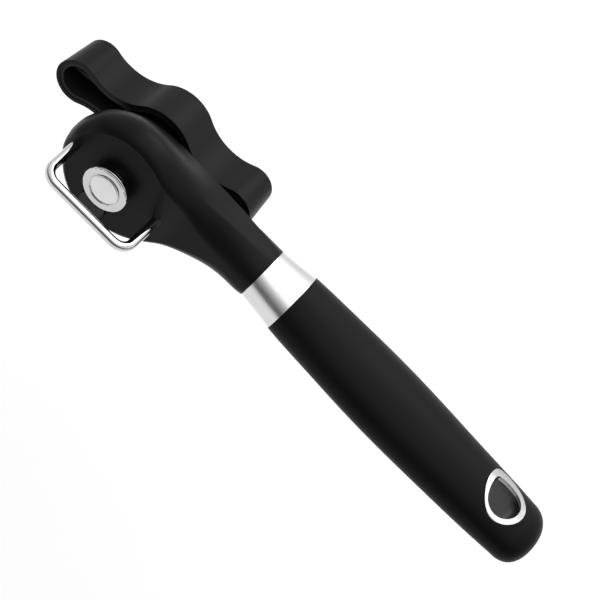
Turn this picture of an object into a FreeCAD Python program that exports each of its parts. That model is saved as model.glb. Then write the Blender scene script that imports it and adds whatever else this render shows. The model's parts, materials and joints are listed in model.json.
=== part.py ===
import FreeCAD, Part
import math
import os

# Manual can opener. Millimetres. Working axes while the shapes are made:
#   X runs from the head to the end of the handle, Y runs from the cutter side to the knob side,
#   Z is up when a can is opened. The knob spindle is the line x = 0, z = 0 and the front face of
#   the head is the plane y = 0. Every shape is moved on export, so that the part's own origin is
#   the nip, the point where the cutting wheel and the feed wheel hold the rim of the can.

# ---- driving dimensions -------------------------------------------------------------------
HEAD_LEFT = -21.2          # left end of the head
HEAD_RIGHT = 53.9          # end of the neck, where the ferrule starts
HEAD_DEPTH = 22.4          # from the front face to the flat back of the head
PARTING_Y = 11.0           # plane where the two halves of the head meet
FRONT_WALL = 2.4
BACK_WALL = 2.0

# sections across the head: x; y and half height of the flat front strip; how full the front corner
# is along Z and along Y; y and half height where the head is tallest; y and half height at the back.
# The outermost flat faces are cut true at y = 0 and y = HEAD_DEPTH afterwards.
HEAD_STATIONS = (
    (HEAD_LEFT + 0.05, 4.6, 0.4, 0.55, 0.55, 6.5, 1.6, 8.6, 0.6),
    (-20.4, 2.4, 1.5, 0.55, 0.55, 6.5, 5.9, 12.3, 1.5),
    (-18.8, 0.5, 2.6, 0.55, 0.55, 6.5, 10.0, 17.0, 1.8),
    (-16.6, -0.15, 4.6, 0.55, 0.55, 6.5, 13.5, 21.4, 2.2),
    (-13.8, -0.3, 9.6, 0.55, 0.55, 6.5, 16.4, 22.6, 4.2),
    (-9.0, -0.3, 14.4, 0.55, 0.55, 6.5, 19.7, 22.6, 8.0),
    (-3.0, -0.3, 17.0, 0.55, 0.55, 6.5, 21.5, 22.6, 10.4),
    (3.0, -0.3, 17.0, 0.55, 0.55, 6.5, 21.5, 22.6, 11.3),
    (9.0, -0.3, 15.4, 0.55, 0.55, 6.8, 20.0, 22.6, 11.5),
    (14.5, 0.4, 13.6, 0.52, 0.53, 8.0, 17.7, 22.6, 11.4),
    (20.0, 2.5, 10.9, 0.44, 0.48, 9.6, 15.0, 22.6, 11.2),
    (28.5, 5.6, 6.0, 0.33, 0.4, 12.2, 12.1, 22.6, 11.0),
    (37.0, 7.4, 2.8, 0.32, 0.4, 14.6, 10.5, 22.6, 10.5),
    (46.0, 8.45, 1.2, 0.44, 0.49, 17.0, 9.4, 22.6, 9.6),
    (HEAD_RIGHT, 8.75, 0.6, 0.55, 0.55, 18.85, 8.8, 22.6, 8.1))
SCREW_SHANK_R = 1.0
SCREW_HEAD = (1.9, 1.1)    # radius and depth of a countersunk head
HOUSING_SCREWS = (         # x, z, y of the head, y of the tip
    (-15.0, 0.0, 21.3, 8.4), (16.0, 7.4, HEAD_DEPTH, 5.0), (16.0, -7.4, HEAD_DEPTH, 5.0))

# neck, ferrule and handle; pairs are half sizes along Y and Z
HANDLE_Y = 18.85           # axis of neck end, ferrule and handle
NECK_END = (10.15, 8.9)
NECK_SWELL = 13.2          # length over which the neck swells behind the sweep of the knob
FERRULE_END = 67.5
FERRULE_MIDDLE = (11.1, 8.95)
FERRULE_BACK = (12.15, 9.4)
HANDLE_TIP = 178.2
CORE_SPIGOT = (7.5, 6.3)
GRIP_STATIONS = (          # x, half size along Y, half size along Z
    (FERRULE_END, 12.45, 9.65), (84.0, 13.8, 9.54), (98.0, 14.65, 9.45), (112.0, 15.0, 9.42),
    (126.0, 14.7, 9.3), (140.0, 14.1, 9.1), (156.0, 13.4, 8.8), (169.0, 12.6, 8.25))
CORE_STATIONS = GRIP_STATIONS[:6]
GRIP_SKIN = 2.4
GRIP_LEAN = 0.0175         # the handle drops this much towards -Y for each millimetre of length
GRIP_LEAN_LENGTH = 80.0
GRIP_END_POWER = 2.4       # 2 would make the end an ellipsoid; more makes it blunter
GRIP_END_DROP = 0.3        # extra drop of the axis towards -Y at the tip
TANG = (24.0, 120.0, 17.35, 20.35, 4.5)      # x0, x1, y0, y1, half width along Z
TANG_SCREW_X = (29.0, 37.0)
TANG_SCREW_TIP_Y = 15.2
TANG_PEG_X = (96.0, 112.0)
TANG_PEG_R = 2.0

# hanging eye; outline and bore are drops round two circles: x, offset from HANDLE_Y, radius
EYE_OUTLINE = ((160.4, -3.0, 7.75), (155.0, 2.9, 3.7))
EYE_BORE = ((159.9, -3.1, 6.3), (155.0, 1.2, 1.8))
EYE_FLANK_R = 12.5         # radius of the two bowed flanks
EYE_PROUD = 0.35           # how far the rim stands out of the grip

# knob
KNOB_LENGTH = 80.0
KNOB_RIM_Y = 24.15
KNOB_BACK_Y = 41.1
KNOB_LOBE_R = 8.28         # round ends of the knob
KNOB_BULGE_R = 14.5        # round middle of the knob
KNOB_WAIST_R = 16.5        # hollow curves between them
KNOB_DRAFT = 1.4           # how much the outline shrinks from rim to back
KNOB_EDGE_R = 0.6
KNOB_WALL = 1.3
KNOB_BACK_WALL = 2.2
KNOB_SPIN = 7.3            # degrees the knob is turned from the handle's direction at rest
KNOB_CAP_R = 7.0
LINER_WALL = 1.2
HUB_R = 5.6
RIB_THICK = 1.2
RIB_FRONT_Y = 29.0
WASHER_R = 4.4

# spindle
SPINDLE_R = 2.6
SPINDLE_FRONT_Y = 5.75
SQUARE = 3.4               # side of the square that drives the knob
SQUARE_Y = 24.0            # where the round spindle turns square
SPINDLE_END_Y = 35.5
KNOB_SCREW_R = 1.2
KNOB_SCREW_HEAD_R = 2.6
KNOB_SCREW_REACH = 7.0

# cutting wheel and its carrier
CUTTER_R = 8.18
CUTTER_FRONT_Y = -4.2
CUTTER_THICK = 1.3
CUTTER_CROWN = 0.5         # height of the rounded ring on its front
CAP_R = 5.2
CAP_STEM_R = 1.0
JOURNAL_R = 2.6
CARRIER_Z = 0.9            # the carrier turns about this height, so the cutter moves off centre
CARRIER_STEM_R = 3.0
CARRIER_NECK_R = 2.2       # slimmer end of the stem, which holds the stop disc
CARRIER_FLANGE_R = 4.6
CARRIER_SWING = 120.0      # degrees
STOP_DISC_R = 6.6
STOP_DISC_Y = (4.3, 5.1)
STOP_PIN_R = 0.8
STOP_R = 5.4               # radius of the stop pin about the carrier's axis

# gears and feed wheel
GEAR_MODULE = 0.85
GEAR_PRESSURE = 25.0       # degrees
GEAR_Y = (6.0, 10.0)
DRIVE_TEETH = 12
FEED_TEETH = 14
FEED_Z = -GEAR_MODULE * (DRIVE_TEETH + FEED_TEETH) / 2
FEED_SHAFT_R = 2.0
FEED_SHAFT_Y = (-3.0, 14.4)
FEED_WHEEL_R = 5.2
FEED_WHEEL_TEETH = 28
FEED_WHEEL_TOOTH = 0.55    # depth of its teeth
FEED_WHEEL_Y = (-2.6, -0.4)

# chassis inside the head
PLATE_Y = (2.5, 4.0)       # front plate
BRIDGE_Y = (11.4, 12.9)    # rear plate
PLATE_R = 13.9
PLATE_LUG_R = 4.8          # ear of each plate round the feed shaft
POST_ANGLES = (25.0, 155.0, 200.0, 340.0)
POST_CIRCLE_R = 11.2
POST_R = 1.5
BUSH_WALL = 1.3
REAR_BUSH_WALL = 1.6       # bush where the spindle leaves the head
CLIP_GROOVE = 0.45         # depth of the grooves for the snap rings
CLIP_THICK = 0.5
FEED_CLIP_Y = 13.5
SPINDLE_CLIP_Y = 14.4

# wire bail
BAIL_WIRE_R = 1.65
BAIL_LEG_X = (-16.46, 18.25)
BAIL_BAR_Y = -17.1
BAIL_BEND_R = 5.0
BAIL_DEPTH = 7.8           # how far the legs go into the head

FIT = 0.04                 # radial clearance of a running fit
SEAT = 0.02                # radial clearance of a fixed seat
BIG = 60.0                 # larger than any section of the opener, for cutting tools

NIP = FreeCAD.Vector(0, -2.75, -7.0)

V = FreeCAD.Vector
Y_DIR = V(0, 1, 0)


# ---- helpers ------------------------------------------------------------------------------
def save(shape, name):
    moved = shape.copy()
    moved.translate(NIP * -1)
    if not moved.isValid():
        print("invalid shape", name)
    moved.exportStep("parts/" + name + ".step")
    print(name, len(moved.Solids), round(moved.Volume, 1))


def rod(radius, y0, y1, x=0.0, z=0.0):
    return Part.makeCylinder(radius, y1 - y0, V(x, y0, z), Y_DIR)


def tube(outer, inner, y0, y1, x=0.0, z=0.0):
    return rod(outer, y0, y1, x, z).cut(rod(inner, y0, y1, x, z))


def box(x0, x1, y0, y1, z0, z1):
    return Part.makeBox(x1 - x0, y1 - y0, z1 - z0, V(x0, y0, z0))


def fuse(shapes):
    return shapes[0].multiFuse(shapes[1:]).removeSplitter()


def bezier(points):
    curve = Part.BezierCurve()
    curve.setPoles([V(*p) for p in points])
    return curve.toShape()


def turned(profile, x=0.0, z=0.0):
    """Solid of revolution about the Y line through (x, z); profile is a list of (radius, y)."""
    points = [V(x + r, y, z) for r, y in profile]
    face = Part.Face(Part.makePolygon(points + points[:1]))
    return face.revolve(V(x, 0, z), Y_DIR, 360)


def ellipse_wire(x, half_y, half_z, centre_y=HANDLE_Y):
    """Ellipse in a plane across the handle."""
    if half_y >= half_z:
        curve = Part.Ellipse(V(x, centre_y + half_y, 0), V(x, centre_y, half_z), V(x, centre_y, 0))
    else:
        curve = Part.Ellipse(V(x, centre_y, half_z), V(x, centre_y + half_y, 0), V(x, centre_y, 0))
    return Part.Wire(curve.toShape())


# ---- head: two plastic shells over one lofted body ----------------------------------------
def head_section(x, front_y, front_h, round_z, round_y, mid_y, mid_h, back_y, back_h):
    """Outline across the head at x: flat front strip, front corner, flank, flat back.

    round_z and round_y of 0.55 make the front corner a quarter ellipse, and smaller values
    flatten it towards a chamfer.
    """
    dh = mid_h - front_h
    dy = mid_y - front_y
    rear = back_y - mid_y
    fall = mid_h - back_h
    sides = []
    for s in (1, -1):
        corner = bezier([(x, front_y, s * front_h), (x, front_y, s * (front_h + round_z * dh)),
                         (x, mid_y - round_y * dy, s * mid_h), (x, mid_y, s * mid_h)])
        flank = bezier([(x, mid_y, s * mid_h), (x, mid_y + 0.35 * rear, s * mid_h),
                        (x, back_y - 0.4 * rear, s * (back_h + 0.4 * fall)), (x, back_y, s * back_h)])
        sides.append((corner, flank))
    strip = Part.makeLine(V(x, front_y, -front_h), V(x, front_y, front_h))
    back = Part.makeLine(V(x, back_y, back_h), V(x, back_y, -back_h))
    edges = [strip, sides[0][0], sides[0][1], back, sides[1][1], sides[1][0]]
    return Part.Wire(Part.__sortEdges__(edges))


def neck_swell():
    """Behind the sweep of the knob the neck swells to the full ellipse of the ferrule."""
    start = HEAD_RIGHT - NECK_SWELL
    ends = [ellipse_wire(start, *NECK_END), ellipse_wire(HEAD_RIGHT, *NECK_END)]
    neck_back = HANDLE_Y + NECK_END[0] + 0.2
    ramp = [V(start, HANDLE_Y, -BIG), V(start + 0.5, HEAD_DEPTH, -BIG),
            V(start + 5.5, neck_back, -BIG), V(HEAD_RIGHT, neck_back, -BIG),
            V(HEAD_RIGHT, HANDLE_Y, -BIG)]
    wedge = Part.Face(Part.makePolygon(ramp + ramp[:1])).extrude(V(0, 0, 2 * BIG))
    return Part.makeLoft(ends, True).common(wedge)


def head_body():
    body = Part.makeLoft([head_section(*station) for station in HEAD_STATIONS], True, False)
    body = body.common(box(-BIG, 2 * BIG, 0, HEAD_DEPTH, -BIG, BIG))
    return body.fuse(neck_swell())


def bail_path():
    x0, x1 = BAIL_LEG_X
    r = BAIL_BEND_R
    k = r * (1 - math.sqrt(0.5))
    y0, y1 = BAIL_DEPTH, BAIL_BAR_Y
    edges = [Part.makeLine(V(x0, y0, 0), V(x0, y1 + r, 0)),
             Part.Arc(V(x0, y1 + r, 0), V(x0 + k, y1 + k, 0), V(x0 + r, y1, 0)).toShape(),
             Part.makeLine(V(x0 + r, y1, 0), V(x1 - r, y1, 0)),
             Part.Arc(V(x1 - r, y1, 0), V(x1 - k, y1 + k, 0), V(x1, y1 + r, 0)).toShape(),
             Part.makeLine(V(x1, y1 + r, 0), V(x1, y0, 0))]
    return Part.Wire(edges)


def wire_bail():
    path = bail_path()
    ring = Part.Wire(Part.makeCircle(BAIL_WIRE_R, V(BAIL_LEG_X[0], BAIL_DEPTH, 0), Y_DIR))
    return path.makePipeShell([ring], True, False)


def mechanism_room():
    """Space inside the head for chassis, gears and shafts."""
    gear_r = GEAR_MODULE * (FEED_TEETH / 2 + 0.75)
    room = [rod(PLATE_R + 0.4, FRONT_WALL, BRIDGE_Y[1] + 0.7),
            rod(gear_r + 0.8, FRONT_WALL, PARTING_Y + 0.2, 0, FEED_Z),
            rod(PLATE_LUG_R + 0.4, FRONT_WALL, FEED_SHAFT_Y[1] + 0.4, 0, FEED_Z),
            rod(8.6, BRIDGE_Y[1] + 0.6, HEAD_DEPTH - BACK_WALL)]
    return fuse(room)


def tang_room():
    x0, x1, y0, y1, h = TANG
    gap = 0.05
    slot = box(x0 - gap, HEAD_RIGHT + 1, y0 - gap, y1 + gap, -h - gap, h + gap)
    hollow = box(x0 - 1.0, x0 + 24.0, PARTING_Y, y0 + 0.2, -h - 2.0, h + 2.0)
    return slot.fuse(hollow)


def housing_screw(x, z, head_y, tip_y):
    """Countersunk screw with a slot."""
    head_r, head_deep = SCREW_HEAD
    screw = turned([(0, head_y), (head_r, head_y), (SCREW_SHANK_R, head_y - head_deep),
                    (SCREW_SHANK_R, tip_y), (0, tip_y)], x, z)
    return screw.cut(box(x - 5, x + 5, head_y - 0.5, head_y + 1, z - 0.25, z + 0.25))


def screw_hole(x, z, head_y, tip_y):
    head_r, shank_r = SCREW_HEAD[0] + SEAT, SCREW_SHANK_R + SEAT
    mouth, bottom = HEAD_DEPTH + 0.1, tip_y - 0.1
    return turned([(0, mouth), (head_r, mouth), (head_r, head_y),
                   (shank_r, head_y - SCREW_HEAD[1]), (shank_r, bottom), (0, bottom)], x, z)


def housings():
    body = head_body()
    body = body.cut(mechanism_room()).cut(tang_room())
    for x in BAIL_LEG_X:
        body = body.cut(rod(BAIL_WIRE_R + SEAT, -1, BAIL_DEPTH + 0.2, x, 0))
    for place in HOUSING_SCREWS:
        body = body.cut(screw_hole(*place))
    for x in TANG_SCREW_X:
        body = body.cut(screw_hole(x, 0, HEAD_DEPTH, TANG_SCREW_TIP_Y))
    body = body.cut(rod(CARRIER_STEM_R + BUSH_WALL, -1, FRONT_WALL + 1, 0, CARRIER_Z))
    body = body.cut(rod(FEED_SHAFT_R + BUSH_WALL + SEAT, -1, FRONT_WALL + 1, 0, FEED_Z))
    body = body.cut(rod(SPINDLE_R + REAR_BUSH_WALL + SEAT, HEAD_DEPTH - BACK_WALL - 1, HEAD_DEPTH + 1))
    front_part = box(-BIG, BIG, -5, PARTING_Y, -BIG, BIG)
    rear_part = box(-BIG, BIG, PARTING_Y, BIG, -BIG, BIG)
    return body.common(front_part), body.common(rear_part)


# ---- chassis and bushes -------------------------------------------------------------------
def chassis_posts():
    posts = []
    for degrees in POST_ANGLES:
        a = math.radians(degrees)
        x, z = POST_CIRCLE_R * math.cos(a), POST_CIRCLE_R * math.sin(a)
        posts.append(rod(POST_R, PLATE_Y[1], BRIDGE_Y[0], x, z))
    return Part.makeCompound(posts)


def chassis_plate():
    plate = rod(PLATE_R, *PLATE_Y).fuse(rod(PLATE_LUG_R, *PLATE_Y, 0, FEED_Z))
    plate = plate.cut(rod(CARRIER_STEM_R + BUSH_WALL, 0, 9, 0, CARRIER_Z))
    plate = plate.cut(rod(FEED_SHAFT_R + BUSH_WALL + SEAT, 0, 9, 0, FEED_Z))
    plate = plate.cut(rod(STOP_PIN_R + SEAT, 0, 9, 0, CARRIER_Z + STOP_R))
    return plate.removeSplitter()


def chassis_bridge():
    plate = rod(PLATE_R, *BRIDGE_Y).fuse(rod(PLATE_LUG_R, *BRIDGE_Y, 0, FEED_Z))
    plate = plate.cut(rod(SPINDLE_R + BUSH_WALL + SEAT, 5, 20))
    plate = plate.cut(rod(FEED_SHAFT_R + BUSH_WALL + SEAT, 5, 20, 0, FEED_Z))
    for x, z, _, _ in HOUSING_SCREWS[1:]:
        plate = plate.cut(rod(SCREW_SHANK_R + 0.3, 5, 20, x, z))
    return plate.removeSplitter()


def bush(shaft_r, wall, y0, y1, z):
    return tube(shaft_r + wall, shaft_r + FIT, y0, y1, 0, z)


# ---- cutter side --------------------------------------------------------------------------
def cutter_carrier():
    """Eccentric post: the stem turns about CARRIER_Z and the journal carries the wheel at z = 0."""
    wheel_back = CUTTER_FRONT_Y + CUTTER_THICK
    journal = rod(JOURNAL_R, CUTTER_FRONT_Y + 0.1, wheel_back + 0.1)
    shoulder = rod(JOURNAL_R + 1.0, wheel_back + FIT, wheel_back + 0.35)
    flange = rod(CARRIER_FLANGE_R, wheel_back + 0.3, -0.35, 0, CARRIER_Z)
    stem = rod(CARRIER_STEM_R, -0.4, PLATE_Y[1] + 0.2, 0, CARRIER_Z)
    neck = rod(CARRIER_NECK_R, PLATE_Y[1] + 0.1, STOP_DISC_Y[1] + 0.3, 0, CARRIER_Z)
    whole = fuse([journal, shoulder, flange, stem, neck])
    return whole.cut(rod(CAP_STEM_R + SEAT, CUTTER_FRONT_Y, -1.5))


def cutting_wheel():
    """Wheel with a crowned front, an edge behind it and a shallow seat for the cap."""
    front, back = CUTTER_FRONT_Y, CUTTER_FRONT_Y + CUTTER_THICK
    bore, seat_r = JOURNAL_R + FIT, CAP_R + 0.3
    centre, half, steps = (seat_r + CUTTER_R) / 2, (CUTTER_R - seat_r) / 2, 12
    crown = []
    for i in range(steps + 1):
        a = math.pi * (1 - i / steps)
        crown.append((centre + half * math.cos(a), front + 0.15 - CUTTER_CROWN * math.sin(a)))
    return turned([(bore, front + 0.15)] + crown + [(CUTTER_R - 0.35, back), (bore, back)])


def cutter_cap():
    """Round cap with a stem that is pressed into the journal."""
    y = CUTTER_FRONT_Y
    boss_r = JOURNAL_R - 0.2
    return turned([(0, y - 0.35), (CAP_R - 0.5, y - 0.35), (CAP_R, y - 0.1), (CAP_R, y + 0.05),
                   (boss_r, y + 0.05), (boss_r, y + 0.1), (CAP_STEM_R, y + 0.1),
                   (CAP_STEM_R, -1.6), (0, -1.6)])


def stop_disc():
    """Disc on the carrier's stem with a notch that lets it turn between two stops."""
    y0, y1 = STOP_DISC_Y
    disc = tube(STOP_DISC_R, CARRIER_NECK_R + SEAT, y0, y1, 0, CARRIER_Z)
    # at rest the pin, straight above the axis, stands at one end of the notch
    margin = math.degrees((STOP_PIN_R + 0.3) / STOP_R)
    first = math.radians(90 - margin - CARRIER_SWING)
    last = math.radians(90 + margin)
    steps = 8
    reach = STOP_DISC_R + 3
    corners = [V(0, y0 - 1, CARRIER_Z)]
    for i in range(steps + 1):
        a = first + (last - first) * i / steps
        corners.append(V(reach * math.cos(a), y0 - 1, CARRIER_Z + reach * math.sin(a)))
    notch = Part.Face(Part.makePolygon(corners + corners[:1])).extrude(V(0, 3, 0))
    hub = rod(STOP_R - STOP_PIN_R - 0.3, y0 - 1, y1 + 1, 0, CARRIER_Z)
    return disc.cut(notch.cut(hub))


# ---- gears and feed wheel -----------------------------------------------------------------
def gear(teeth, y0, y1, z, phase, bore):
    """Stub-toothed involute spur gear; phase is the direction of one tooth, degrees from +X."""
    m = GEAR_MODULE
    pressure = math.radians(GEAR_PRESSURE)
    pitch_r = m * teeth / 2
    base_r = pitch_r * math.cos(pressure)
    tip_r = pitch_r + 0.75 * m
    root_r = pitch_r - m
    backlash = 0.11
    half = math.pi / (2 * teeth) - backlash / pitch_r
    at_pitch = math.tan(pressure) - pressure

    def flank_angle(r):
        if r <= base_r:
            return half + at_pitch
        a = math.acos(base_r / r)
        return half + at_pitch - (math.tan(a) - a)

    radii = [root_r] + [base_r + (tip_r - base_r) * k / 4 for k in range(5)]
    points = []
    for i in range(teeth):
        mid = math.radians(phase) + 2 * math.pi * i / teeth
        flank = [(r, flank_angle(r)) for r in radii]
        for r, a in flank:
            points.append((r, mid - a))
        for r, a in reversed(flank):
            points.append((r, mid + a))
    outline = [V(r * math.cos(a), y0, z + r * math.sin(a)) for r, a in points]
    blank = Part.Face(Part.makePolygon(outline + outline[:1])).extrude(V(0, y1 - y0, 0))
    return blank.cut(rod(bore, y0 - 1, y1 + 1, 0, z))


def feed_wheel():
    """Hard wheel with sharp teeth that grips the underside of the can's rim."""
    front, back = FEED_WHEEL_Y
    points = []
    for i in range(2 * FEED_WHEEL_TEETH):
        r = FEED_WHEEL_R - FEED_WHEEL_TOOTH * (i % 2)
        a = math.pi * i / FEED_WHEEL_TEETH
        points.append(V(r * math.cos(a), front, FEED_Z + r * math.sin(a)))
    blank = Part.Face(Part.makePolygon(points + points[:1])).extrude(V(0, back - front, 0))
    return blank.cut(rod(FEED_SHAFT_R + SEAT, front - 1, back + 1, 0, FEED_Z))


def clip_groove(shaft_r, y, z):
    return tube(shaft_r + 1, shaft_r - CLIP_GROOVE, y, y + CLIP_THICK, 0, z)


def snap_ring(shaft_r, lip, y, z):
    """Open ring in a shaft's groove; lip is how far it stands out of the shaft."""
    outer = shaft_r + lip
    y0, y1 = y + SEAT, y + CLIP_THICK - SEAT
    ring = tube(outer, shaft_r - CLIP_GROOVE + SEAT, y0, y1, 0, z)
    return ring.cut(box(-0.9, 0.9, y0 - 1, y1 + 1, z, z + outer + 1))


def feed_shaft():
    """Shaft with a low round head in front of the feed wheel."""
    front, back = FEED_SHAFT_Y
    head = turned([(0, front), (1.6, front), (1.9, front + 0.3), (FEED_SHAFT_R, front + 0.35),
                   (FEED_SHAFT_R, back), (0, back)], 0, FEED_Z)
    return head.cut(clip_groove(FEED_SHAFT_R, FEED_CLIP_Y, FEED_Z))


# ---- knob ---------------------------------------------------------------------------------
def wave_wire(inset, y):
    """Outline of the knob in the plane y, moved inwards by inset: lobe, waist, bulge, waist, lobe."""
    lobe, bulge, waist = KNOB_LOBE_R, KNOB_BULGE_R, KNOB_WAIST_R
    lobe_x = KNOB_LENGTH / 2 - lobe
    a = lobe + waist
    b = bulge + waist
    waist_x = (lobe_x ** 2 - a ** 2 + b ** 2) / (2 * lobe_x)
    waist_z = math.sqrt(b ** 2 - waist_x ** 2)
    to_lobe = math.atan2(waist_z, waist_x - lobe_x)
    to_bulge = math.atan2(waist_z, waist_x)

    def p(cx, cz, r, ang):
        return V(cx + r * math.cos(ang), y, cz + r * math.sin(ang))

    r_lobe, r_bulge, r_waist = lobe - inset, bulge - inset, waist + inset
    lobe_top = p(lobe_x, 0, r_lobe, to_lobe)
    bulge_right = p(0, 0, r_bulge, to_bulge)
    down_lobe = math.atan2(-waist_z, lobe_x - waist_x)
    down_bulge = math.atan2(-waist_z, -waist_x)
    mid = (down_lobe + down_bulge) / 2
    waist_mid = p(waist_x, waist_z, r_waist, mid)

    def flip(v, sx, sz):
        return V(v.x * sx, v.y, v.z * sz)

    edges = []
    for sx, sz in ((1, 1), (-1, 1), (-1, -1), (1, -1)):
        edges.append(Part.Arc(flip(lobe_top, sx, sz), flip(waist_mid, sx, sz),
                              flip(bulge_right, sx, sz)).toShape())
    for s in (1, -1):
        edges.append(Part.Arc(flip(bulge_right, 1, s), V(0, y, s * r_bulge),
                              flip(bulge_right, -1, s)).toShape())
        edges.append(Part.Arc(flip(lobe_top, s, 1), V(s * (lobe_x + r_lobe), y, 0),
                              flip(lobe_top, s, -1)).toShape())
    return Part.Wire(Part.__sortEdges__(edges))


def knob_block(inset, y0, y1):
    """Solid of the knob's outline between two planes, with its draft."""
    def draft(y):
        return KNOB_DRAFT * (y - KNOB_RIM_Y) / (KNOB_BACK_Y - KNOB_RIM_Y)
    wires = [wave_wire(inset + draft(y), y) for y in (y0, y1)]
    return Part.makeLoft(wires, True, True)


def spin(shape):
    """Turns a knob piece to its rest direction, from +X towards +Z."""
    turned_shape = shape.copy()
    turned_shape.rotate(V(0, 0, 0), Y_DIR, -KNOB_SPIN)
    return turned_shape


def knob_shell():
    outer = knob_block(0, KNOB_RIM_Y, KNOB_BACK_Y)
    rim = [e for e in outer.Edges if abs(e.BoundBox.YMin - KNOB_BACK_Y) < 1e-6]
    outer = outer.makeFillet(KNOB_EDGE_R, rim)
    hollow = knob_block(KNOB_WALL, KNOB_RIM_Y - 0.5, KNOB_BACK_Y - KNOB_BACK_WALL)
    shell = outer.cut(hollow)
    return shell.cut(rod(KNOB_CAP_R + SEAT, KNOB_BACK_Y - KNOB_BACK_WALL - 0.1, KNOB_BACK_Y + 1))


def knob_core():
    """Stiff liner under the outer skin, with hub, web and ribs."""
    web_y = KNOB_BACK_Y - KNOB_BACK_WALL
    skin = KNOB_WALL + SEAT
    outer = knob_block(skin, KNOB_RIM_Y + 0.3, web_y - 0.02)
    hollow = knob_block(skin + LINER_WALL, KNOB_RIM_Y - 0.5, web_y - 2.0)
    core = outer.cut(hollow)
    rib_back = web_y - 1.5
    hub = rod(HUB_R, 23.1, rib_back)
    rib_x, rib_z, t = KNOB_LENGTH / 2 - 4.0, KNOB_BULGE_R - 3.0, RIB_THICK / 2
    ribs = [box(HUB_R - 1, rib_x, RIB_FRONT_Y, rib_back, -t, t),
            box(-rib_x, 1 - HUB_R, RIB_FRONT_Y, rib_back, -t, t),
            box(-t, t, RIB_FRONT_Y, rib_back, -rib_z, rib_z)]
    core = fuse([core, hub] + ribs)
    s = SQUARE / 2 + SEAT
    core = core.cut(box(-s, s, SQUARE_Y - 0.2, SPINDLE_END_Y + 0.05, -s, s))
    core = core.cut(rod(SPINDLE_R + SEAT, SQUARE_Y - 2, SQUARE_Y + 0.2))
    core = core.cut(rod(KNOB_SCREW_R + 0.35, RIB_FRONT_Y, KNOB_BACK_Y))
    return core.cut(rod(WASHER_R + 0.2, web_y - 1.0, KNOB_BACK_Y))


def spindle():
    body = rod(SPINDLE_R, SPINDLE_FRONT_Y, SQUARE_Y + 0.1)
    s = SQUARE / 2
    whole = body.fuse(box(-s, s, SQUARE_Y, SPINDLE_END_Y, -s, s))
    whole = whole.cut(clip_groove(SPINDLE_R, SPINDLE_CLIP_Y, 0))
    return whole.cut(rod(KNOB_SCREW_R + SEAT, SPINDLE_END_Y - KNOB_SCREW_REACH - 0.5, SPINDLE_END_Y + 1))


def knob_screw():
    """Cross-headed screw that holds the knob on the spindle, under the cap."""
    under = KNOB_BACK_Y - KNOB_BACK_WALL - 0.45
    top = under + 1.6
    head_r, tip = KNOB_SCREW_HEAD_R, SPINDLE_END_Y - KNOB_SCREW_REACH
    screw = turned([(0, top), (head_r - 0.4, top), (head_r, top - 0.5), (head_r, under),
                    (KNOB_SCREW_R, under), (KNOB_SCREW_R, tip), (0, tip)])
    arm, half = 1.4, 0.35
    cross = [box(-arm, arm, top - 0.65, top + 1, -half, half),
             box(-half, half, top - 0.65, top + 1, -arm, arm)]
    return screw.cut(fuse(cross))


def knob_washer():
    back = KNOB_BACK_Y - KNOB_BACK_WALL - 0.45
    return tube(WASHER_R, KNOB_SCREW_R + 0.1, back - 0.55, back)


def knob_cap():
    """Flush round cap over the screw, a thin disc with a rim pressed into the shell."""
    y, r = KNOB_BACK_Y, KNOB_CAP_R
    return turned([(0, y), (r - 0.6, y), (r, y - 0.5), (r, y - 2.1), (r - 1, y - 2.1),
                   (r - 1, y - 0.9), (0, y - 0.9)])


# ---- ferrule, handle and hanging eye ------------------------------------------------------
def ferrule():
    step = 0.1             # the ferrule starts this much inside the neck
    outer = Part.makeLoft([ellipse_wire(HEAD_RIGHT, NECK_END[0] - step, NECK_END[1] - step),
                           ellipse_wire((HEAD_RIGHT + FERRULE_END) / 2, *FERRULE_MIDDLE),
                           ellipse_wire(FERRULE_END, *FERRULE_BACK)], True, False)
    bore = [size + SEAT for size in CORE_SPIGOT]
    ends = [ellipse_wire(HEAD_RIGHT - 1, *bore), ellipse_wire(FERRULE_END + 1, *bore)]
    return outer.cut(Part.makeLoft(ends, True))


def tang():
    x0, x1, y0, y1, h = TANG
    bar = box(x0, x1, y0, y1, -h, h)
    for x in TANG_SCREW_X:
        bar = bar.cut(rod(SCREW_SHANK_R + SEAT, y0 - 1, y1 + 1, x, 0))
    for x in TANG_PEG_X:
        bar = bar.cut(rod(TANG_PEG_R, y0 - 1, y1 + 1, x, 0))
    return bar


def core_inner_wires():
    wires = []
    for x, half_y, half_z in CORE_STATIONS:
        wires.append(ellipse_wire(x, half_y - GRIP_SKIN, half_z - GRIP_SKIN, grip_axis(x)))
    return wires


def handle_core():
    body = Part.makeLoft(core_inner_wires(), True, False)
    spigot = Part.makeLoft([ellipse_wire(HEAD_RIGHT + 0.1, *CORE_SPIGOT),
                            ellipse_wire(FERRULE_END + 0.5, *CORE_SPIGOT)], True)
    x0, x1, y0, y1, h = TANG
    s = SEAT
    slot = box(x0, x1 + s, y0 - s, y1 + s, -h - s, h + s)
    core = body.fuse(spigot).cut(slot)
    pegs = [rod(TANG_PEG_R - SEAT, y0 - 1, y1 + 1, x, 0) for x in TANG_PEG_X]
    return fuse([core] + pegs)


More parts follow.
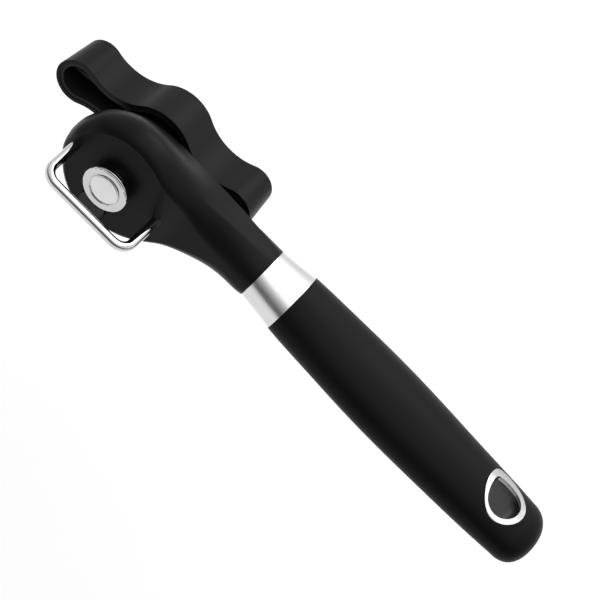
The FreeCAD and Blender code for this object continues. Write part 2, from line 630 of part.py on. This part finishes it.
def drop_prism(circles, grow=0.0):
    """Drop of four tangent arcs, two of them the bowed flanks, extruded along Z."""
    (big_x, big_y, big_r), (small_x, small_y, small_r) = circles
    big = V(big_x, HANDLE_Y + big_y, -BIG)
    small = V(small_x, HANDLE_Y + small_y, -BIG)
    along = small - big
    gap = along.Length
    along.normalize()
    across = V(-along.y, along.x, 0)
    # the centre of each flank lies at these distances from the centres of the two circles
    to_big, to_small = EYE_FLANK_R - big_r, EYE_FLANK_R - small_r
    shift = (to_big ** 2 - to_small ** 2 + gap ** 2) / (2 * gap)
    side_shift = math.sqrt(to_big ** 2 - shift ** 2)

    def on_flank(centre, towards):
        way = towards - centre
        return centre + way * ((EYE_FLANK_R + grow) / way.Length)

    ends, flanks = [], []
    for side in (1, -1):
        centre = big + along * shift - across * (side * side_shift)
        one, two = on_flank(centre, big), on_flank(centre, small)
        middle = on_flank(centre, (one + two) * 0.5)
        flanks.append(Part.Arc(one, middle, two).toShape())
        ends.append((one, two))
    round_big = Part.Arc(ends[0][0], big - along * (big_r + grow), ends[1][0]).toShape()
    round_small = Part.Arc(ends[0][1], small + along * (small_r + grow), ends[1][1]).toShape()
    outline = Part.Wire(Part.__sortEdges__([round_big, flanks[1], round_small, flanks[0]]))
    return Part.Face(outline).extrude(V(0, 0, 2 * BIG))


def grip_axis(x):
    """Height of the handle's axis along Y: it leans at first and runs level near the tip."""
    return HANDLE_Y - GRIP_LEAN * min(x - FERRULE_END, GRIP_LEAN_LENGTH)


def grip_solid(grow=0.0):
    """Oval handle, swelling in the middle, with a blunt round end."""
    wires = [ellipse_wire(x, half_y + grow, half_z + grow, grip_axis(x))
             for x, half_y, half_z in GRIP_STATIONS]
    body = Part.makeLoft(wires, True, False)
    x, half_y, half_z = GRIP_STATIONS[-1]
    rounds = []
    for t in (0.0, 0.3, 0.55, 0.75, 0.88, 0.95, 0.985):
        k = (1 - t ** GRIP_END_POWER) ** (1 / GRIP_END_POWER)
        rounds.append(ellipse_wire(x + (HANDLE_TIP - x + grow) * t, (half_y + grow) * k,
                                   (half_z + grow) * k, grip_axis(x) - GRIP_END_DROP * t * t))
    return body.fuse(Part.makeLoft(rounds, True, False))


def handle_grip():
    grip = grip_solid()
    inner = Part.makeLoft(core_inner_wires(), True, False)
    return grip.cut(inner).cut(drop_prism(EYE_OUTLINE))


def eye_rings():
    """Two chrome liners that meet at mid thickness, each with a rim flush with the grip."""
    plug = drop_prism(EYE_OUTLINE, -SEAT).common(grip_solid(EYE_PROUD))
    plug = plug.cut(drop_prism(EYE_BORE))
    above = box(0, HANDLE_TIP, -BIG, BIG, 0, BIG)
    return plug.common(above), plug.cut(above)


# ---- everything is made and saved ---------------------------------------------------------
os.makedirs("parts", exist_ok=True)

front_housing, rear_housing = housings()
save(front_housing, "front_housing")
save(rear_housing, "rear_housing")
save(Part.makeCompound([housing_screw(*place) for place in HOUSING_SCREWS]), "housing_screws")
save(chassis_plate(), "chassis_plate")
save(chassis_bridge(), "chassis_bridge")
save(chassis_posts(), "chassis_posts")
save(bush(CARRIER_STEM_R, BUSH_WALL - SEAT, 0, PLATE_Y[1], CARRIER_Z), "carrier_bush")
save(bush(FEED_SHAFT_R, BUSH_WALL, 0, PLATE_Y[1], FEED_Z), "feed_front_bush")
save(bush(FEED_SHAFT_R, BUSH_WALL, GEAR_Y[1] + 0.6, BRIDGE_Y[1] + 0.3, FEED_Z), "feed_rear_bush")
save(bush(SPINDLE_R, BUSH_WALL, GEAR_Y[1] + 0.6, BRIDGE_Y[1] + 1.0, 0), "spindle_front_bush")
save(bush(SPINDLE_R, REAR_BUSH_WALL, HEAD_DEPTH - 3.4, HEAD_DEPTH, 0), "spindle_rear_bush")
save(rod(STOP_PIN_R, PLATE_Y[0], STOP_DISC_Y[1] + 0.2, 0, CARRIER_Z + STOP_R), "carrier_stop_pin")
save(wire_bail(), "wire_bail")
save(tang(), "handle_tang")
tang_screws = [housing_screw(x, 0, HEAD_DEPTH, TANG_SCREW_TIP_Y) for x in TANG_SCREW_X]
save(Part.makeCompound(tang_screws), "tang_screws")
save(ferrule(), "ferrule")
save(handle_core(), "handle_core")
save(handle_grip(), "handle_grip")
eye_top, eye_bottom = eye_rings()
save(eye_top, "eye_ring_top")
save(eye_bottom, "eye_ring_bottom")

save(cutter_carrier(), "cutter_carrier")
save(cutter_cap(), "cutter_cap")
save(stop_disc(), "carrier_stop_disc")
save(tube(4.0, KNOB_SCREW_R, STOP_DISC_Y[1] + 0.35, SPINDLE_FRONT_Y - 0.05), "drag_washer")
save(cutting_wheel(), "cutting_wheel")

save(feed_shaft(), "feed_shaft")
save(feed_wheel(), "feed_wheel")
save(gear(FEED_TEETH, *GEAR_Y, FEED_Z, 90 + 180 / FEED_TEETH, FEED_SHAFT_R + SEAT), "feed_gear")
save(snap_ring(FEED_SHAFT_R, 1.6, FEED_CLIP_Y, FEED_Z), "feed_clip")

save(spin(spindle()), "spindle")
save(gear(DRIVE_TEETH, *GEAR_Y, 0, -90, SPINDLE_R + SEAT), "drive_gear")
save(snap_ring(SPINDLE_R, 2.0, SPINDLE_CLIP_Y, 0), "spindle_clip")
save(spin(knob_shell()), "knob_shell")
save(spin(knob_core()), "knob_core")
save(knob_washer(), "knob_washer")
save(knob_screw(), "knob_screw")
save(knob_cap(), "knob_cap")
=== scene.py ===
import json
import math

import bmesh
import bpy
from mathutils import Matrix, Vector


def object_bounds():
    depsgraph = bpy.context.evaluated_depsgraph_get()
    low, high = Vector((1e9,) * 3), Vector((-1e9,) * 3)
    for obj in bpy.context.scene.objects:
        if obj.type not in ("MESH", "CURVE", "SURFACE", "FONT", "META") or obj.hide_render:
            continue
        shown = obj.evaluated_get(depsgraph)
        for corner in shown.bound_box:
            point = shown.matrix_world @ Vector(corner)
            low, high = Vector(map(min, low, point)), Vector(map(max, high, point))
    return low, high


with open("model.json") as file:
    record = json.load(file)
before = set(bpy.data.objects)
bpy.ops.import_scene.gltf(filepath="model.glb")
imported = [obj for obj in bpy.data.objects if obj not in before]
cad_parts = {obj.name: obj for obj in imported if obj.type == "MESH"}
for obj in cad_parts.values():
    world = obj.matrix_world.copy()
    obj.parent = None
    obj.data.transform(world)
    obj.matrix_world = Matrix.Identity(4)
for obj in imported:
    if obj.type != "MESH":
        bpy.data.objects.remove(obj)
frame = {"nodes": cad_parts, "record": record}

BOX_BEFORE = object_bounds()
SCENE = bpy.context.scene
MM = 0.001

# ---- looks: linear colours, noise scales in features per metre, depths in metres -----------
SHARP_ANGLE = math.radians(30)     # edges sharper than this stay hard
NOISE_BAND = (0.3, 0.7)            # nearly all of a noise value lies in here
DRIFT_SCALE = 38                   # slow changes over the plastics
DRIFT_DEPTH = 0.00003
DRIFT_ROUGHNESS = 0.035            # either side of the plastic's own
DRIFT_TINTS = (0.85, 1.2)
CLOUD_SCALE = 120                  # cloudy changes over the metals
CLOUD_DETAIL = 2.0
CLOUD_TINT = 0.95
MARKS_SCALE = 900                  # polishing marks on the metals
MARKS_DEPTH = 0.000004
MOULD_GRAIN = (5200, 0.000012)     # scale and depth of the grain on hard plastic
GRIP_GRAIN = (4200, 0.00002)

PLASTICS = {                       # colour, roughness, specular level, grain
    "housing_plastic": ((0.0050, 0.0050, 0.0052), 0.36, 0.10, MOULD_GRAIN),
    "knob_plastic": ((0.0060, 0.0060, 0.0063), 0.38, 0.11, MOULD_GRAIN),
    "inner_plastic": ((0.0140, 0.0140, 0.0144), 0.42, 0.14, MOULD_GRAIN),
    "soft_grip": ((0.0042, 0.0042, 0.0044), 0.45, 0.09, GRIP_GRAIN),
}
METALS = {                         # colour, lowest and highest roughness
    "zinc_screws": ((0.62, 0.62, 0.63), 0.25, 0.35),
    "plain_steel": ((0.55, 0.55, 0.56), 0.28, 0.4),
    "bronze": ((0.50, 0.33, 0.15), 0.35, 0.5),
    "chrome_wire": ((0.66, 0.66, 0.67), 0.05, 0.09),
    # the ferrule's marks run round it, so their scale and stretch are its own
    "satin_steel": ((0.74, 0.74, 0.75), 0.27, 0.34, 1400, (12, 1, 1)),
    "cap_steel": ((0.74, 0.74, 0.75), 0.32, 0.4),
    "cutter_steel": ((0.62, 0.62, 0.63), 0.08, 0.13),
    "black_oxide": ((0.03, 0.03, 0.032), 0.3, 0.45),
    "gear_steel": ((0.50, 0.50, 0.51), 0.3, 0.42),
}

# liner of the hanging eye; the lip lies near the surface of the oval grip, the bore deeper
# and coloured dark as painted shade for the shade inside the hole
EYE_CENTRE = (0.1604, 0.0202, 0.0070)      # on the handle's axis, in the frame
GRIP_HALF_Y = 0.0132
GRIP_HALF_Z = 0.0086
LIP_COLOUR = (0.60, 0.60, 0.61)
# painted shade: the bore is coloured dark for the shade deep inside the eye
BORE_SHADE_COLOUR = (0.060, 0.060, 0.062)
BORE_SHADE_TO_LIP = (0.86, 0.90)         # part of the way from the handle's axis to the surface, where the painted shade of the bore gives way to the lip
LINER_ROUGHNESS = (0.18, 0.26)
LINER_SCALE = 700
LINER_DEPTH = 0.000003

# ---- camera and studio, in metres ----------------------------------------------------------
CAMERA_AT = Vector((33.79, -555.5, 618.77)) * MM
VIEW_TARGET = Vector((67.86, 10.47, 22.26)) * MM
CAMERA_ROLL = math.radians(47.65)
CLIP_START = 0.01
LENS_MM = 157.1
SENSOR_MM = 36
FLOOR_DROP = 0.16                  # from the lowest point of the opener to the floor
FLOOR_HALF = 4.0
FLOOR_COLOUR = (0.95, 0.95, 0.95)
FLOOR_ROUGHNESS = 0.9
DOME_AXIS = (0.0, 0.45, 0.89)      # towards the brightest part of the studio dome
DOME_BAND = (-0.30, 0.80)          # height along that axis where it is dimmest and brightest
DOME_STRENGTH = (0.03, 1.0)
LAMPS = {                          # place, target, size, power in watts
    "key": ((0.05, 0.55, 0.75), (0.06, 0, 0), 0.55, 2.4),
    "top": ((0.1, -0.1, 1.3), (0.08, 0, 0), 1.2, 3.5),
}


# ---- materials -----------------------------------------------------------------------------
def set_bands(map_range, source, target):
    """Makes a Map Range node take one (low, high) band to another."""
    for side, band in (("From", source), ("To", target)):
        map_range.inputs[side + " Min"].default_value = band[0]
        map_range.inputs[side + " Max"].default_value = band[1]


class Shader:
    """A small wrapper round one material's node tree with a Principled shader in it."""

    def __init__(self, name, colour, roughness, metallic=0.0, specular=0.5):
        self.material = bpy.data.materials.new(name)
        self.material.use_nodes = True
        self.tree = self.material.node_tree
        self.bsdf = self.tree.nodes["Principled BSDF"]
        self.bsdf.inputs["Base Color"].default_value = (*colour, 1)
        self.bsdf.inputs["Roughness"].default_value = roughness
        self.bsdf.inputs["Metallic"].default_value = metallic
        self.bsdf.inputs["Specular IOR Level"].default_value = specular
        self.place = self.node("ShaderNodeTexCoord").outputs["Object"]

    def node(self, kind):
        return self.tree.nodes.new(kind)

    def link(self, source, target):
        self.tree.links.new(source, target)

    def noise(self, scale, stretch=(1, 1, 1), detail=3.0):
        """Noise over the piece, stretched along the axes."""
        mapping = self.node("ShaderNodeMapping")
        mapping.inputs["Scale"].default_value = stretch
        self.link(self.place, mapping.inputs["Vector"])
        noise = self.node("ShaderNodeTexNoise")
        noise.inputs["Scale"].default_value = scale
        noise.inputs["Detail"].default_value = detail
        self.link(mapping.outputs["Vector"], noise.inputs["Vector"])
        return noise.outputs["Fac"]

    def vector_math(self, operation, source, constant=(0, 0, 0)):
        made = self.node("ShaderNodeVectorMath")
        made.operation = operation
        made.inputs[1].default_value = constant
        self.link(source, made.inputs[0])
        return made.outputs["Value" if operation == "LENGTH" else "Vector"]

    def vary_roughness(self, value, low, high):
        """Roughness from low to high with a noise value."""
        ranged = self.node("ShaderNodeMapRange")
        set_bands(ranged, NOISE_BAND, (low, high))
        self.link(value, ranged.inputs["Value"])
        self.link(ranged.outputs["Result"], self.bsdf.inputs["Roughness"])

    def vary_colour(self, value, low, high, band=NOISE_BAND):
        """Base colour from low to high while the value passes through the band."""
        ramp = self.node("ShaderNodeValToRGB")
        for element, position, colour in zip(ramp.color_ramp.elements, band, (low, high)):
            element.position = position
            element.color = (*colour, 1)
        self.link(value, ramp.inputs["Fac"])
        self.link(ramp.outputs["Color"], self.bsdf.inputs["Base Color"])

    def bump(self, *heights):
        """heights: (noise value, depth) pairs, each a bump node on top of the last."""
        last = None
        for value, depth in heights:
            bump = self.node("ShaderNodeBump")
            bump.inputs["Strength"].default_value = 1.0
            bump.inputs["Distance"].default_value = depth
            self.link(value, bump.inputs["Height"])
            if last:
                self.link(last, bump.inputs["Normal"])
            last = bump.outputs["Normal"]
        self.link(last, self.bsdf.inputs["Normal"])


def tinted(colour, factor):
    return [channel * factor for channel in colour]


def moulded(name, colour, roughness, specular, grain):
    """Black moulded plastic: fine grain, slight changes of sheen, faint colour drift."""
    s = Shader(name, colour, roughness, specular=specular)
    grain_scale, grain_depth = grain
    fine = s.noise(grain_scale)
    broad = s.noise(DRIFT_SCALE)
    s.vary_roughness(broad, roughness - DRIFT_ROUGHNESS, roughness + DRIFT_ROUGHNESS)
    s.vary_colour(broad, *(tinted(colour, tint) for tint in DRIFT_TINTS))
    s.bump((broad, DRIFT_DEPTH), (fine, grain_depth))
    return s.material


def metal(name, colour, low, high, marks_scale=MARKS_SCALE, stretch=(1, 1, 1)):
    """Metal with fine polishing marks and a cloudy change of brightness."""
    s = Shader(name, colour, (low + high) / 2, 1.0)
    marks = s.noise(marks_scale, stretch)
    s.vary_roughness(marks, low, high)
    cloud = s.noise(CLOUD_SCALE, detail=CLOUD_DETAIL)
    s.vary_colour(cloud, tinted(colour, CLOUD_TINT), colour)
    s.bump((marks, MARKS_DEPTH))
    return s.material


def eye_liner(name):
    """Bright trim with a narrow lip; deeper in, its bore is coloured dark as painted shade
    for the shade inside the hole.
    """
    s = Shader(name, LIP_COLOUR, sum(LINER_ROUGHNESS) / 2, 1.0)
    cloud = s.noise(LINER_SCALE)
    s.vary_roughness(cloud, *LINER_ROUGHNESS)
    # distance from the handle's axis, 1 at the surface of the oval grip; it sets where the
    # painted shade of the bore meets the lip
    offset = s.vector_math("SUBTRACT", s.place, EYE_CENTRE)
    scaled = s.vector_math("MULTIPLY", offset, (0, 1 / GRIP_HALF_Y, 1 / GRIP_HALF_Z))
    reach = s.vector_math("LENGTH", scaled)
    # painted shade: below the lip the colour fades to the dark of the bore, standing for the
    # shade inside the hole
    s.vary_colour(reach, BORE_SHADE_COLOUR, LIP_COLOUR, BORE_SHADE_TO_LIP)
    s.bump((cloud, LINER_DEPTH))
    return s.material


def all_materials():
    """One material for each material slot in the record, by the slot's name."""
    made = {name: moulded(name, *look) for name, look in PLASTICS.items()}
    made.update({name: metal(name, *look) for name, look in METALS.items()})
    made["chrome_trim"] = eye_liner("chrome_trim")
    return made


def dress_cad():
    materials = all_materials()
    slot_of = {part["node"]: part["material_slot"] for part in frame["record"]["subparts"]}
    for name, node in frame["nodes"].items():
        node.data.materials.clear()
        node.data.materials.append(materials[slot_of[name]])
        node.data.shade_smooth()
        node.data.set_sharp_from_angle(angle=SHARP_ANGLE)


# ---- camera, floor and light ---------------------------------------------------------------
def facing(place, target):
    """Matrix at place whose -Z axis points at target."""
    turn = (target - place).to_track_quat("-Z", "Y").to_matrix().to_4x4()
    return Matrix.Translation(place) @ turn


def camera():
    data = bpy.data.cameras.new("camera")
    data.lens = LENS_MM
    data.sensor_width = SENSOR_MM
    data.clip_start = CLIP_START
    cam = bpy.data.objects.new("camera", data)
    SCENE.collection.objects.link(cam)
    cam.matrix_world = facing(CAMERA_AT, VIEW_TARGET) @ Matrix.Rotation(CAMERA_ROLL, 4, "Z")
    SCENE.camera = cam


def floor():
    """Plain pale floor below the opener."""
    bm = bmesh.new()
    bmesh.ops.create_grid(bm, x_segments=1, y_segments=1, size=FLOOR_HALF)
    mesh = bpy.data.meshes.new("floor")
    bm.to_mesh(mesh)
    bm.free()
    mesh.materials.append(Shader("floor_paint", FLOOR_COLOUR, FLOOR_ROUGHNESS).material)
    plane = bpy.data.objects.new("floor", mesh)
    plane.location.z = BOX_BEFORE[0][2] - FLOOR_DROP
    SCENE.collection.objects.link(plane)


def dome():
    """Studio dome: bright overhead and behind, dim low in front."""
    world = bpy.data.worlds.new("studio")
    SCENE.world = world
    world.use_nodes = True
    tree = world.node_tree
    place = tree.nodes.new("ShaderNodeTexCoord")
    height = tree.nodes.new("ShaderNodeVectorMath")
    height.operation = "DOT_PRODUCT"
    height.inputs[1].default_value = DOME_AXIS
    ramp = tree.nodes.new("ShaderNodeMapRange")
    ramp.interpolation_type = "SMOOTHSTEP"
    set_bands(ramp, DOME_BAND, DOME_STRENGTH)
    background = tree.nodes["Background"]
    background.inputs["Color"].default_value = (1, 1, 1, 1)
    tree.links.new(place.outputs["Generated"], height.inputs[0])
    tree.links.new(height.outputs["Value"], ramp.inputs["Value"])
    tree.links.new(ramp.outputs["Result"], background.inputs["Strength"])


def area_light(name, place, target, size, power):
    data = bpy.data.lights.new(name, "AREA")
    data.energy = power
    data.size = size
    lamp = bpy.data.objects.new(name, data)
    SCENE.collection.objects.link(lamp)
    lamp.matrix_world = facing(Vector(place), Vector(target))


def lights():
    dome()
    for name, lamp in LAMPS.items():
        area_light(name, *lamp)
    SCENE.view_settings.view_transform = "Standard"


dress_cad()
camera()
floor()
lights()
